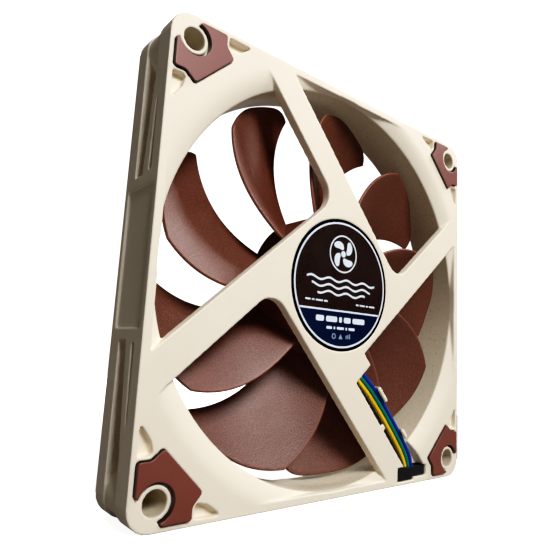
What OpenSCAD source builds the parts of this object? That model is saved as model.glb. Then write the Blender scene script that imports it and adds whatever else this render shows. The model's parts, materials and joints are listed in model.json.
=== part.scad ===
// Slim 92 mm axial case fan: square duct frame, nine-blade impeller on a sleeve
// bearing, four-pole brushless motor and a four-wire lead.
// Parts are drawn lying flat: x to the right, y up and z towards the strut side,
// about the rotor axis at mid-depth. upright() then stands the fan on its edge.

/* [Frame] */
// Side length of the square frame
frame_size = 92; // [91.6:0.2:92.4]
// Depth of the frame along the rotor axis
frame_depth = 14; // [14:0.5:15]
// Radius of the frame's outer corners
corner_r = 4.2; // [3:0.2:5]
// Distance between mounting holes along a side
hole_spacing = 82.5; // [82:0.25:83]
// Radius of a mounting hole
hole_r = 2.15; // [2:0.05:2.2]
// Inner radius of the air duct
duct_r = 44.5; // [44.2:0.1:44.6]
// Radius at which the flare meets the flat face
flare_r = 49.4; // [48:0.1:50]
// Depth of the flare below the face
flare_depth = 1.5; // [1:0.1:2]
// Half width of the square opening in each face
opening_half = 44.3; // [44:0.1:44.4]

/* [Struts] */
// Direction of the first strut from the x axis, degrees
strut_angle = 131.4; // [120:0.2:140]
// Distance of a strut's inner edge from the axis
strut_near = 10.2; // [9.6:0.1:10.6]
// Distance of a strut's outer edge from the axis
strut_far = 16.7; // [16.4:0.1:17]
// Depth of the struts
strut_depth = 2.2; // [2:0.1:2.3]
// Radius of the motor base
base_r = 16.4; // [16.2:0.1:16.6]

/* [Impeller] */
// Number of blades
blade_count = 9; // [7:2:11]
// Radius of the impeller's hub
hub_r = 16.3; // [16:0.1:16.4]
// Radius of the blade tips
blade_tip_r = 43.4; // [42:0.1:43.6]
// Thickness of a blade measured along the axis
blade_t = 1.1; // [0.8:0.1:1.2]
// Depth of the blades' hollow towards the strut side
blade_camber = 0.55; // [0:0.05:0.8]
// Direction of the first blade's leading root corner, degrees
blade_start = 159.8; // [0:0.2:360]

/* [Motor] */
// Radius of the shaft
shaft_r = 1.5; // [1.4:0.05:1.5]
// Radial running clearance between shaft and bearing
shaft_gap = 0.03; // [0.02:0.01:0.08]
// Outer radius of the bearing tube
tube_r = 3.6; // [3.5:0.05:3.7]
// Outer radius of the stator core
core_r = 12.6; // [12:0.1:12.7]

/* [Lead] */
// Radius of each wire
wire_r = 0.5; // [0.4:0.05:0.5]
// Radius of the sleeved cable
sleeve_r = 1.45; // [1.3:0.05:1.45]

/* [Hidden] */
$fn = 96;
eps = 0.01;

half = frame_size / 2;
face_z = frame_depth / 2;
hole_at = hole_spacing / 2;
wall_r = duct_r + 1.5;
strut_z = face_z - strut_depth;

// Frame section: a front flange with a rib behind it, a groove and a rear flange
rib_z = 0;
rear_flange_z = -3;
front_groove_z = [2.7, 3.8];
bridge_half = 15;
channel_end = 37;
boss_r = 4.6;
panel = [26, 11];
panel_depth = 0.45;
pad_depth = 1;
pad_bore_r = 3.4;
hole_ring_r = 2.95;
core_pocket_depth = 1.5;
strut_fillet_r = 4.5;

// Motor base
label_r = 15;
label_depth = 0.35;
base_inner_z = 5.4;
seat_r = 5.2;
seat_z = 2.6;

// Wire channel beside the lower right strut, in that strut's own frame
wire_strut_angle = strut_angle + 180;
lane_near = -5.4;
lane_top_z = 5;
lane_floor_z = 4.6;
wire_z = lane_top_z + wire_r + 0.05;
cover_end = 20.1;
cover_near = -4;
hook_wall = [-4.95, -4.5];
hook_lip_v = -5.45;
hook_lip_z = 6.35;
// Where each wire leaves the cover, passes the hooks and enters the strain relief,
// from the wire beside the hooks to the one beside the strut
wire_exit_v = [-6.35, -7.45, -8.55, -9.65];
wire_hook_v = [-5.5, -6.6, -7.8, -9.2];
wire_end_x = [27.6, 26.4, 25.2, 24];

// Notch for the strain relief: a deep part, and a shallow one beside it
notch_x = [21, 27.3, 32.1];
notch_top = -41.9;
notch_low = [-45.2, -44.6];
relief_gap = 0.2;

// Lead beside the frame
cable_y = -43.7;
cable_z = -1.5;
run_x = [48, 52.2];
mean_run_x = (run_x[0] + run_x[1]) / 2;
run_top = 30;
run_low = -22;
plug_top = -31;
plug = [5.4, 12, 10.2];
plug_x = 49.1;
plug_z = -1.6;

// Rotor heights
rotor_rear_z = -6.4;
rotor_front_z = 4.3;
rotor_wall = 1;
bushing_r = 3;

module upright() {
    rotate([90, 0, 0])
        children();
}

// Outline through [x, y, radius] corners, each rounded by an arc of its radius
function unit(v) = v / norm(v);
function corner_arc(a, b, c, r, steps = 6) =
    let(
        to_a = unit(a - b),
        to_c = unit(c - b),
        half_turn = acos(to_a * to_c) / 2,
        cut = r / tan(half_turn),
        centre = b + unit(to_a + to_c) * r / sin(half_turn),
        start = b + to_a * cut - centre,
        stop = b + to_c * cut - centre,
        turn = sign(start[0] * stop[1] - start[1] * stop[0]) * (180 - 2 * half_turn)
    )
    [for (i = [0:steps])
        let(t = turn * i / steps)
        centre + [
            start[0] * cos(t) - start[1] * sin(t),
            start[0] * sin(t) + start[1] * cos(t)
        ]];
function xy(p) = [p[0], p[1]];
function rounded(corners) =
    let(n = len(corners))
    [for (i = [0:n - 1])
        let(before = corners[(i + n - 1) % n], here = corners[i], after = corners[(i + 1) % n])
        each (here[2] > 0
            ? corner_arc(xy(before), xy(here), xy(after), here[2])
            : [xy(here)])];
function box_corners(w, h, r) =
    [[-w / 2, -h / 2, r], [w / 2, -h / 2, r], [w / 2, h / 2, r], [-w / 2, h / 2, r]];

// Round tube along a list of points, with flat ends
function along(path, i) =
    unit(path[min(i + 1, len(path) - 1)] - path[max(i - 1, 0)]);
function ring(path, i, r, sides) =
    let(
        d = along(path, i),
        side = unit(cross(d, abs(d[2]) < 0.8 ? [0, 0, 1] : [1, 0, 0])),
        up = cross(side, d)
    )
    [for (k = [0:sides - 1])
        let(a = 360 * k / sides)
        path[i] + r * (cos(a) * side + sin(a) * up)];
module tube_along(path, r, sides = 10) {
    n = len(path);
    points = [for (i = [0:n - 1]) each ring(path, i, r, sides)];
    walls = [for (i = [0:n - 2], k = [0:sides - 1])
        let(a = i * sides + k, b = i * sides + (k + 1) % sides)
        each [[a, b, b + sides], [a, b + sides, a + sides]]];
    first_cap = [for (k = [1:sides - 2]) [0, k + 1, k]];
    last = (n - 1) * sides;
    last_cap = [for (k = [1:sides - 2]) [last, last + k, last + k + 1]];
    polyhedron(points = points, faces = concat(walls, first_cap, last_cap));
}

// Smooth curve through every point of a list
function curve_point(a, b, c, d, t) =
    0.5 * (2 * b + (c - a) * t + (2 * a - 5 * b + 4 * c - d) * t * t
        + (3 * b - a - 3 * c + d) * t * t * t);
function curve(points, steps) =
    let(n = len(points))
    concat(
        [for (i = [0:n - 2], k = [0:steps - 1])
            curve_point(points[max(i - 1, 0)], points[i], points[i + 1],
                points[min(i + 2, n - 1)], k / steps)],
        [points[n - 1]]);

// ---- Frame ----

module frame_outline() {
    polygon(rounded(box_corners(frame_size, frame_size, corner_r)));
}

module at_holes() {
    for (sx = [-1, 1], sy = [-1, 1])
        translate([sx * hole_at, sy * hole_at])
            children();
}

// Outline of a corner pad in the +x +y corner, before its round cut-out
module pad_outline() {
    half_outline = [
        [39.9, 45.05, 0.4], [34.4, 45.05, 0.5], [34.35, 42.7, 1.6], [32.5, 40.5, 0.6]
    ];
    n = len(half_outline);
    other_half = [for (i = [n - 1:-1:0])
        [half_outline[i][1], half_outline[i][0], half_outline[i][2]]];
    polygon(rounded(concat(
        [[40.35, 44.55, 0]], half_outline, other_half, [[44.55, 40.35, 0]])));
}

// Small cored pocket beside a pad, seen from the face
module core_pocket_outline() {
    polygon(rounded([
        [33.8, 45, 0.3], [28.2, 45, 0.3], [31.3, 42.8, 0.5], [33.3, 42.3, 0.4], [33.8, 42.9, 0.2]
    ]));
}

// Pockets at one corner of a face; the wires' notch takes the place of an edge pocket
module face_pockets(edge_pocket = true) {
    translate([0, 0, face_z - pad_depth])
        linear_extrude(pad_depth + eps)
            difference() {
                pad_outline();
                translate([hole_at, hole_at])
                    circle(hole_ring_r);
            }
    translate([0, 0, face_z - core_pocket_depth])
        linear_extrude(core_pocket_depth + eps) {
            if (edge_pocket)
                core_pocket_outline();
            mirror([1, -1, 0])
                core_pocket_outline();
        }
}

// Flare that leaves the face smoothly and runs out at the square opening
module flare() {
    steps = 8;
    lip = [for (i = [0:steps])
        let(t = 1 - i / steps)
        [flare_r - (flare_r - duct_r + eps) * t, face_z - flare_depth * t * t]];
    intersection() {
        rotate_extrude($fn = 180)
            polygon(concat([[0, face_z - flare_depth]], lip, [[flare_r, face_z + 1], [0, face_z + 1]]));
        cube([2 * opening_half, 2 * opening_half, 2 * frame_depth], center = true);
    }
}

// Plan of the channel outside the duct wall, the corner posts and the side bridges
module channel_plan() {
    difference() {
        square(frame_size + 2, center = true);
        circle(wall_r, $fn = 180);
        at_holes()
            circle(boss_r);
        square([frame_size + 4, 2 * bridge_half], center = true);
        square([2 * bridge_half, frame_size + 4], center = true);
    }
}

// Wedge in the front flange's rib, which thins it towards the corner post
module rib_wedge() {
    translate([half + 1, 0, 0])
        rotate([0, -90, 0])
            linear_extrude(14)
                polygon([
                    [rib_z - eps, bridge_half], [rib_z - eps, half + 1],
                    [rib_z + 2, half + 1], [rib_z + 2, channel_end]
                ]);
}

// Narrow groove between the front flange and its rib
module front_groove() {
    translate([half + 1, 0, 0])
        rotate([0, -90, 0])
            linear_extrude(3)
                polygon([
                    [front_groove_z[0], bridge_half + 0.5], [front_groove_z[1], bridge_half + 0.5],
                    [front_groove_z[1], 30], [front_groove_z[1] - 0.3, 30]
                ]);
}

module side_panel() {
    translate([half - panel_depth, 0, 0])
        rotate([0, 90, 0])
            linear_extrude(1)
                polygon(rounded(box_corners(panel[1], panel[0], 1)));
}

module each_side() {
    for (turn = [0:90:270])
        rotate([0, 0, turn])
            children();
}

module strut_plan() {
    circle(base_r);
    for (k = [0:3])
        rotate(strut_angle + 90 * k) {
            translate([-strut_near, -strut_far])
                square([50 + strut_near, strut_far - strut_near]);
            if (k != 2)
                difference() {
                    translate([strut_far - eps, -strut_near - eps])
                        square(strut_fillet_r + eps);
                    translate([strut_far + strut_fillet_r, -strut_near + strut_fillet_r])
                        circle(strut_fillet_r);
                }
        }
}

module wire_strut() {
    rotate([0, 0, wire_strut_angle])
        children();
}

// Floor, cover and hooks that hold the wires beside the lower right strut
module wire_lane() {
    wire_strut() {
        translate([base_r, -strut_near - eps, lane_floor_z])
            cube([50 - base_r, strut_near + lane_near, lane_top_z - lane_floor_z]);
        translate([strut_far - 2, -strut_near - eps, face_z - 0.7])
            cube([cover_end - strut_far + 2, strut_near + cover_near, 0.7]);
        translate([strut_far - 2, cover_near - 0.7, lane_floor_z])
            cube([cover_end - strut_far + 2, 0.7, face_z - lane_floor_z]);
        for (hook = [[26.2, 4.3], [39.6, 2.6]])
            translate([hook[0], 0, 0]) {
                translate([0, lane_near - eps, lane_floor_z])
                    cube([hook[1], hook_wall[1] - lane_near + eps, lane_top_z - lane_floor_z]);
                translate([0, hook_wall[0], lane_floor_z])
                    cube([hook[1], hook_wall[1] - hook_wall[0], face_z - lane_floor_z]);
                translate([0, hook_lip_v, hook_lip_z])
                    cube([hook[1], hook_wall[1] - hook_lip_v, face_z - hook_lip_z]);
            }
        translate([33.4, -strut_near - eps, face_z - 0.55])
            cube([1.5, 0.9, 0.55]);
    }
}

module wire_cuts() {
    // Slot through the rim of the motor base
    wire_strut()
        translate([11, -strut_near, lane_floor_z - 1])
            cube([cover_end - 11 + eps, strut_near + cover_near - 0.7, 6.3 - lane_floor_z + 1]);
    // Lane through the flare, then the notch for the strain relief
    intersection() {
        wire_strut()
            translate([42.3, -strut_near, lane_top_z])
                cube([12, strut_near + lane_near + 1, 5]);
        translate([0, notch_top - eps, 0])
            cube([half, half, frame_depth]);
    }
    for (i = [0, 1])
        translate([notch_x[i] - eps, notch_low[i], 3.4])
            cube([notch_x[i + 1] - notch_x[i] + eps, notch_top - notch_low[i], 5]);
    // Way through the rib into the rear groove
    translate([24, notch_low[0], rear_flange_z])
        cube([notch_x[2] - 24, notch_top - notch_low[0], 7]);
}

module base_hollow() {
    translate([0, 0, strut_z - 1])
        difference() {
            cylinder(h = base_inner_z - strut_z + 1, r = label_r);
            translate([0, 0, -1])
                cylinder(h = 4, r = seat_r);
        }
}

module frame() {
    color("antiquewhite")
    upright()
    difference() {
        union() {
            difference() {
                translate([0, 0, -face_z])
                    linear_extrude(frame_depth)
                        frame_outline();
                translate([0, 0, -face_z - 1])
                    cylinder(h = frame_depth + 2, r = duct_r, $fn = 180);
                flare();
                mirror([0, 0, 1])
                    flare();
                translate([0, 0, rear_flange_z])
                    linear_extrude(rib_z - rear_flange_z)
                        channel_plan();
                intersection() {
                    each_side() {
                        rib_wedge();
                        mirror([0, 1, 0])
                            rib_wedge();
                    }
                    translate([0, 0, -1])
                        linear_extrude(4)
                            channel_plan();
                }
                each_side() {
                    front_groove();
                    mirror([0, 1, 0])
                        front_groove();
                    side_panel();
                }
            }
            intersection() {
                translate([0, 0, strut_z])
                    linear_extrude(strut_depth)
                        intersection() {
                            strut_plan();
                            square(2 * opening_half + 2, center = true);
                        }
                cylinder(h = 20, r = flare_r + 2, $fn = 180);
            }
            intersection() {
                wire_lane();
                cylinder(h = 20, r = wall_r, $fn = 180);
            }
            translate([0, 0, seat_z])
                cylinder(h = face_z - seat_z - 1, r = seat_r);
        }
        for (mx = [0, 1], my = [0, 1])
            mirror([mx, 0, 0])
                mirror([0, my, 0]) {
                    face_pockets(mx == 1 || my == 0);
                    mirror([0, 0, 1])
                        face_pockets();
                }
        at_holes()
            translate([0, 0, -face_z - 1])
                cylinder(h = frame_depth + 2, r = hole_r);
        base_hollow();
        translate([0, 0, face_z - label_depth])
            cylinder(h = 1, r = label_r + 0.05);
        translate([0, 0, seat_z - 1])
            cylinder(h = 5.9 - seat_z + 1, r = tube_r);
        wire_cuts();
    }
}

// ---- Corner pads ----

module pad(flip_x, flip_y, rear) {
    color("rosybrown")
    upright()
    mirror([flip_x, 0, 0])
        mirror([0, flip_y, 0])
            mirror([0, 0, rear])
                translate([0, 0, face_z - pad_depth])
                    linear_extrude(pad_depth)
                        difference() {
                            pad_outline();
                            translate([hole_at, hole_at])
                                circle(pad_bore_r);
                        }
}

// ---- Labels ----

module hub_label() {
    color("midnightblue")
    upright()
        translate([0, 0, face_z - label_depth])
            cylinder(h = 0.25, r = label_r);
}

module rotor_label() {
    color("saddlebrown")
    upright()
        translate([0, 0, rotor_rear_z])
            cylinder(h = 0.2, r = 13.4);
}

// ---- Bearing ----

module bearing_tube() {
    color("gold")
    upright()
        translate([0, 0, -3.4])
            difference() {
                cylinder(h = 9.2, r = tube_r);
                translate([0, 0, -1])
                    cylinder(h = 12, r = tube_r - 0.8);
            }
}

module bearing_washer(z, h, outer, inner) {
    upright()
        translate([0, 0, z])
            difference() {
                cylinder(h = h, r = outer);
                translate([0, 0, -1])
                    cylinder(h = h + 2, r = inner);
            }
}

module sleeve_bearing() {
    color("peru")
    bearing_washer(-2.8, 6, tube_r - 0.81, shaft_r + shaft_gap);
}

module bearing_magnet() {
    color("dimgray")
    bearing_washer(4.4, 0.7, tube_r - 0.82, 1.8);
}

module oil_seal() {
    color("white")
    bearing_washer(-3.35, 0.5, tube_r - 0.82, shaft_r + 0.1);
}

module thrust_plate() {
    color("ivory")
    upright()
        translate([0, 0, 5.2])
            cylinder(h = 0.55, r = tube_r - 0.82);
}

// ---- Stator ----

module pole_plan(arm_w, arm_end) {
    circle(5);
    for (turn = [0:90:270])
        rotate(turn)
            translate([0, -arm_w / 2])
                square([arm_end, arm_w]);
}

module stator_core() {
    color("silver")
    upright()
        translate([0, 0, -1.8])
            linear_extrude(3.2)
                difference() {
                    union() {
                        pole_plan(3.4, 12);
                        difference() {
                            circle(core_r);
                            circle(11.45);
                            for (turn = [45:90:315])
                                rotate(turn)
                                    translate([8, -1.3])
                                        square([8, 2.6]);
                        }
                    }
                    circle(tube_r + 0.02);
                }
}

// Plastic spider over one face of the core, with a wall at the end of each arm
module insulator() {
    difference() {
        union() {
            linear_extrude(0.6)
                pole_plan(4.6, 11.3);
            for (turn = [0:90:270])
                rotate([0, 0, turn])
                    translate([10.85, -3.7, 0])
                        cube([0.5, 7.4, 1.4]);
        }
        translate([0, 0, -1])
            cylinder(h = 4, r = tube_r + 0.02);
    }
}

module insulator_front() {
    color("whitesmoke")
    upright()
        translate([0, 0, 1.41])
            insulator();
}

module insulator_rear() {
    color("whitesmoke")
    upright()
        translate([0, 0, -1.81])
            mirror([0, 0, 1])
                insulator();
}

module coil(turn) {
    color("chocolate")
    upright()
        rotate([0, 0, turn])
            translate([5.9, 0, -0.2])
                rotate([90, 0, 90])
                    linear_extrude(4.85)
                        difference() {
                            polygon(rounded(box_corners(7.4, 6.1, 1.2)));
                            square([4.66, 4.5], center = true);
                        }
}

module terminal_pins() {
    color("silver")
    upright()
        for (turn = [0:90:270])
            rotate([0, 0, turn])
                translate([11.1, 3.2, 2.82])
                    cylinder(h = 1.3, r = 0.22, $fn = 24);
}

// ---- Electronics ----

board_z = 3.3;
board_t = 0.8;
board_r = 14.3;

module circuit_board() {
    color("darkgreen")
    upright()
        translate([0, 0, board_z])
            difference() {
                cylinder(h = board_t, r = board_r);
                translate([0, 0, -1])
                    cylinder(h = 3, r = seat_r + 0.2);
                for (turn = [0:90:270])
                    rotate([0, 0, turn])
                        translate([11.1, 3.2, -1])
                            cylinder(h = 3, r = 0.28, $fn = 24);
            }
}

// A chip on the board's front face, with legs along two sides
module leaded_chip(w, h, t, legs) {
    translate([-w / 2, -h / 2, 0.1])
        cube([w, h, t]);
    for (i = [0:legs - 1])
        translate([-w / 2 + (i + 0.5) * w / legs - 0.18, -h / 2 - 0.6, 0])
            cube([0.36, h + 1.2, 0.22]);
}

module driver_chip() {
    color("dimgray")
    upright()
        translate([-9.3, 2, board_z + board_t])
            rotate([0, 0, 90])
                leaded_chip(4.9, 3.6, 0.95, 4);
}

module hall_sensor() {
    color("dimgray")
    upright()
        rotate([0, 0, 45])
            translate([11.2, 0, board_z - 1.05])
                rotate([0, 0, 90])
                    leaded_chip(2.8, 1.3, 0.94, 3);
}

module capacitor() {
    color("tan")
    upright()
        translate([3.5, 9.4, board_z + board_t])
            leaded_chip(3.2, 1.8, 0.9, 2);
}

module chip_resistors() {
    color("black")
    upright()
        for (spot = [[-0.8, 10.8], [-5.2, 9.6], [8.6, 5.6]])
            translate([spot[0] - 0.8, spot[1] - 0.4, board_z + board_t])
                cube([1.6, 0.8, 0.45]);
}

// ---- Lead ----

// Each wire runs from the board, past the motor base and along the strut to the
// strain relief, and shows again between the sleeve's end and the connector.
function in_strut(u, v, z) = [
    u * cos(wire_strut_angle) - v * sin(wire_strut_angle),
    u * sin(wire_strut_angle) + v * cos(wire_strut_angle),
    z
];
function wire_run(i) = [
    in_strut(8.2, wire_exit_v[i] + 0.6, board_z + board_t + wire_r + 0.05),
    in_strut(10.6, wire_exit_v[i] + 0.3, board_z + board_t + wire_r + 0.06),
    in_strut(14, wire_exit_v[i], wire_z),
    in_strut(20, wire_exit_v[i], wire_z),
    in_strut(26, wire_hook_v[i], wire_z),
    in_strut(31, wire_hook_v[i], wire_z),
    in_strut(37, wire_hook_v[i], wire_z),
    in_strut(43, wire_hook_v[i], wire_z),
    [wire_end_x[i] - 0.8, -39.4 - 0.35 * i, wire_z],
    [wire_end_x[i], notch_top + 0.02, wire_z]
];

module lead_wire(index, tint) {
    tail_r = 0.28;
    tail_z = plug_z + (index - 1.5) * 2.54;
    bundle_z = cable_z + (index - 1.5) * 0.62;
    tail = [
        [plug_x, plug_top + 3.38, bundle_z],
        [plug_x, plug_top + 2.8, bundle_z],
        [plug_x, plug_top + 1.7, (bundle_z + tail_z) / 2],
        [plug_x, plug_top + 0.6, tail_z],
        [plug_x, plug_top + 0.08, tail_z]
    ];
    color(tint)
    upright() {
        tube_along(curve(wire_run(index), 4), wire_r);
        tube_along(curve(tail, 4), tail_r);
    }
}

// Two blocks side by side, the second shallower
module strain_relief() {
    block_x = [notch_x[0] + relief_gap, 26.9, notch_x[2] - relief_gap];
    block_top = [6.7, 6.5];
    block_floor = 3.5;
    color("black")
    upright()
        for (i = [0, 1])
            translate([block_x[i] - eps, notch_low[i] + relief_gap, block_floor])
                cube([
                    block_x[i + 1] - block_x[i] + eps,
                    notch_top - notch_low[i] - 2 * relief_gap,
                    block_top[i] - block_floor
                ]);
}

cable_path = [
    [27.5, cable_y, 3.45], [27.5, cable_y, 1.6], [28.1, cable_y, -0.6], [30.2, cable_y + 0.4, cable_z],
    [33.6, -40.9, cable_z], [36.8, -36.8, cable_z], [40.9, -33.6, cable_z],
    [44.4, -29, cable_z], [47.3, -24.2, cable_z], [run_x[0], run_low + 4, cable_z],
    [run_x[0], 0, cable_z], [run_x[0], run_top - 6, cable_z],
    [run_x[0], run_top, cable_z], [mean_run_x, run_top + 2.1, cable_z], [run_x[1], run_top, cable_z],
    [run_x[1], run_top - 6, cable_z], [run_x[1], 0, cable_z], [run_x[1], run_low + 4, cable_z],
    [run_x[1] - 0.7, run_low, cable_z], [plug_x, plug_top + 6.6, cable_z],
    [plug_x, plug_top + 5.3, cable_z]
];

module cable_sleeve() {
    color("black")
    upright()
        tube_along(curve(cable_path, 4), sleeve_r);
}

module heat_shrink() {
    color("dimgray")
    upright()
        translate([plug_x, plug_top + 3.4, cable_z])
            rotate([-90, 0, 0])
                cylinder(h = 1.8, r = sleeve_r);
}

module cable_tie() {
    color("black")
    upright()
        translate([mean_run_x, 6, cable_z])
            rotate([-90, 0, 0])
                linear_extrude(2.5)
                    difference() {
                        polygon(rounded(box_corners(8.2, 4, 1.7)));
                        polygon(rounded(box_corners(7.2, 3, 1.45)));
                    }
}

module connector_housing() {
    color("black")
    upright()
        difference() {
            translate([plug_x - plug[0] / 2, plug_top - plug[1], plug_z - plug[2] / 2])
                cube(plug);
            for (i = [0:3])
                translate([plug_x - 0.9, plug_top - plug[1] - 1, plug_z + (i - 1.5) * 2.54 - 0.9])
                    cube([1.8, plug[1] - 1, 1.8]);
        }
}

module connector_terminals() {
    color("gold")
    upright()
        for (i = [0:3])
            translate([plug_x, plug_top - plug[1] + 3, plug_z + (i - 1.5) * 2.54])
                difference() {
                    translate([-0.7, 0, -0.7])
                        cube([1.4, plug[1] - 5.1, 1.4]);
                    translate([-0.4, -1, -0.4])
                        cube([0.8, plug[1] - 6, 0.8]);
                }
}

// ---- Rotor ----

// Blade surface: s runs from 0 at the hub to 1 at the tip, v from the leading
// edge at the rear (0) to the trailing edge at the strut side (1).
function lead_angle(s) = -3 * s - 17 * s * s;
function trail_angle(s) = 33 - 9 * s - 3 * s * s - 9 * s * s * s;
function lead_z(s) = -5 - 1.8 * s + 1.4 * s * s;
function trail_z(s) = 3.9 + 0.3 * s - 1.7 * s * s;
function tip_radius(v) =
    blade_tip_r - 2.6 * pow(max(0, 1 - v / 0.35), 2.2) - 2.1 * pow(max(0, (v - 0.65) / 0.35), 2.2);
function edge_taper(v) = 0.55 + 0.45 * pow(sin(180 * v), 0.5);
blade_root_r = hub_r - 0.6;
function blade_point(u, v, side) =
    let(
        r = blade_root_r + (tip_radius(v) - blade_root_r) * u,
        s = (r - hub_r) / (blade_tip_r - hub_r),
        a = lead_angle(s) + (trail_angle(s) - lead_angle(s)) * v,
        hollow = blade_camber * 4 * v * (1 - v) * (0.5 + 0.5 * s),
        z = lead_z(s) + (trail_z(s) - lead_z(s)) * v - hollow
    )
    [r * cos(a), r * sin(a), z + side * blade_t / 2 * edge_taper(v)];

module blade() {
    nu = 8;
    nv = 8;
    w = nv + 1;
    count = (nu + 1) * w;
    points = [for (side = [1, -1], i = [0:nu], j = [0:nv])
        blade_point(i / nu, (1 - cos(180 * j / nv)) / 2, side)];
    front = [for (i = [0:nu - 1], j = [0:nv - 1])
        let(a = i * w + j)
        each [[a, a + 1, a + w + 1], [a, a + w + 1, a + w]]];
    rear = [for (f = front) [f[0] + count, f[2] + count, f[1] + count]];
    root = [for (j = [0:nv - 1])
        each [[j, j + count, j + 1 + count], [j, j + 1 + count, j + 1]]];
    tip = [for (j = [0:nv - 1])
        let(a = nu * w + j)
        each [[a, a + 1, a + 1 + count], [a, a + 1 + count, a + count]]];
    lead = [for (i = [0:nu - 1])
        let(a = i * w)
        each [[a, a + w, a + w + count], [a, a + w + count, a + count]]];
    trail = [for (i = [0:nu - 1])
        let(a = i * w + nv)
        each [[a, a + count, a + w + count], [a, a + w + count, a + w]]];
    polyhedron(points = points, faces = concat(front, rear, root, tip, lead, trail));
}

module impeller() {
    color("sienna")
    upright() {
        difference() {
            union() {
                rotate_extrude()
                    polygon(rounded([
                        [0, rotor_rear_z, 0], [hub_r, rotor_rear_z, 0.9],
                        [hub_r, rotor_front_z, 0.2], [hub_r - rotor_wall, rotor_front_z, 0.2],
                        [hub_r - rotor_wall, rotor_rear_z + rotor_wall, 0],
                        [bushing_r + 1.2, rotor_rear_z + rotor_wall, 0],
                        [bushing_r + 1.2, -4.3, 0], [0, -4.3, 0]
                    ]));
                for (k = [0:blade_count - 1])
                    rotate([0, 0, blade_start + 360 / blade_count * k])
                        blade();
            }
            translate([0, 0, -5.9])
                cylinder(h = 3, r = bushing_r);
            translate([0, 0, rotor_rear_z - 1])
                cylinder(h = 1.2, r = 13.45);
        }
    }
}

module rotor_yoke() {
    color("slategray")
    upright()
        rotate_extrude()
            polygon([
                [bushing_r + 1.25, rotor_rear_z + rotor_wall + 0.02],
                [hub_r - rotor_wall - 0.02, rotor_rear_z + rotor_wall + 0.02],
                [hub_r - rotor_wall - 0.02, 2.9], [14.6, 2.9],
                [14.6, rotor_rear_z + rotor_wall + 0.7],
                [bushing_r + 1.25, rotor_rear_z + rotor_wall + 0.7]
            ]);
}

module rotor_magnet() {
    color("darkslategray")
    bearing_washer(-4.4, 7, 14.58, 13);
}

module shaft() {
    color("silver")
    upright()
        rotate_extrude()
            polygon([
                [0, -5.88], [shaft_r, -5.88], [shaft_r, 3.45], [shaft_r - 0.3, 3.45],
                [shaft_r - 0.3, 3.95], [shaft_r, 3.95], [shaft_r, 4.8], [1, 5.15], [0, 5.15]
            ]);
}

module shaft_bushing() {
    color("goldenrod")
    bearing_washer(-5.88, 2, bushing_r - 0.01, shaft_r);
}

module retaining_clip() {
    color("white")
    upright()
        translate([0, 0, 3.5])
            difference() {
                cylinder(h = 0.4, r = 2.3);
                translate([0, 0, -1])
                    cylinder(h = 3, r = shaft_r - 0.28);
                translate([0, -0.5, -1])
                    cube([4, 1, 3]);
            }
}

frame();
pad(1, 0, 0);  // pad_front_top_left
pad(0, 0, 0);  // pad_front_top_right
pad(1, 1, 0);  // pad_front_bottom_left
pad(0, 1, 0);  // pad_front_bottom_right
pad(1, 0, 1);  // pad_rear_top_left
pad(0, 0, 1);  // pad_rear_top_right
pad(1, 1, 1);  // pad_rear_bottom_left
pad(0, 1, 1);  // pad_rear_bottom_right
hub_label();
bearing_tube();
sleeve_bearing();
bearing_magnet();
thrust_plate();
oil_seal();
stator_core();
insulator_front();
insulator_rear();
coil(0);  // coil_1
coil(90);  // coil_2
coil(180);  // coil_3
coil(270);  // coil_4
terminal_pins();
circuit_board();
driver_chip();
hall_sensor();
capacitor();
chip_resistors();
lead_wire(3, "black");  // wire_black
lead_wire(2, "gold");  // wire_yellow
lead_wire(1, "seagreen");  // wire_green
lead_wire(0, "mediumblue");  // wire_blue
strain_relief();
cable_sleeve();
heat_shrink();
cable_tie();
connector_housing();
connector_terminals();
impeller();
rotor_label();
rotor_yoke();
rotor_magnet();
shaft();
shaft_bushing();
retaining_clip();
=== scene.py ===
"""Looks for a slim case fan: frame, soft pads, swept impeller, printed label and lead."""
import json
import math

import bmesh
import bpy
import numpy as np
from mathutils import Matrix, Vector


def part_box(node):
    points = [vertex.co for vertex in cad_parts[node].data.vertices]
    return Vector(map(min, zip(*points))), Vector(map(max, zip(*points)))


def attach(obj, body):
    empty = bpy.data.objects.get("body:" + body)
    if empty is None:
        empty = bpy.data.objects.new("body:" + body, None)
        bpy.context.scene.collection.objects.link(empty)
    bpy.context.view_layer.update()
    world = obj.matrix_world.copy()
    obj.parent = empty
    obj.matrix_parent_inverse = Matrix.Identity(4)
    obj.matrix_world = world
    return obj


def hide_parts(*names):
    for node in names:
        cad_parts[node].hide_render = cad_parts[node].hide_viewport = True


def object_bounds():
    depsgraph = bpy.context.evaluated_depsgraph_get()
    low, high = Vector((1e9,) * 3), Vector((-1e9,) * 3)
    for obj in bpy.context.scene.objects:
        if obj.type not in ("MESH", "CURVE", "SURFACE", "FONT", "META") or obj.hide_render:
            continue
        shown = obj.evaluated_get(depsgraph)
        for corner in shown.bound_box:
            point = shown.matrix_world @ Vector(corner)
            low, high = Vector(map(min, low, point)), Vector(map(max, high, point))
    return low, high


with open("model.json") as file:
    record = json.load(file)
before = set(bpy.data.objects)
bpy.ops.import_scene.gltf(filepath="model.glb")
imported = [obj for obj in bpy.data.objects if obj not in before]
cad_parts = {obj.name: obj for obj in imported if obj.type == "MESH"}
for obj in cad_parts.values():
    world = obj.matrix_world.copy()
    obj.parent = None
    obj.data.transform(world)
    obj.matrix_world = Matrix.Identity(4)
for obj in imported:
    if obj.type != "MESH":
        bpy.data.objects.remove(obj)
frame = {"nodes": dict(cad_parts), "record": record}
cad_low, cad_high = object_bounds()
nodes = frame["nodes"]

# Metres in a millimetre. Every other size in this script is in millimetres.
MM = 0.001

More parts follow.
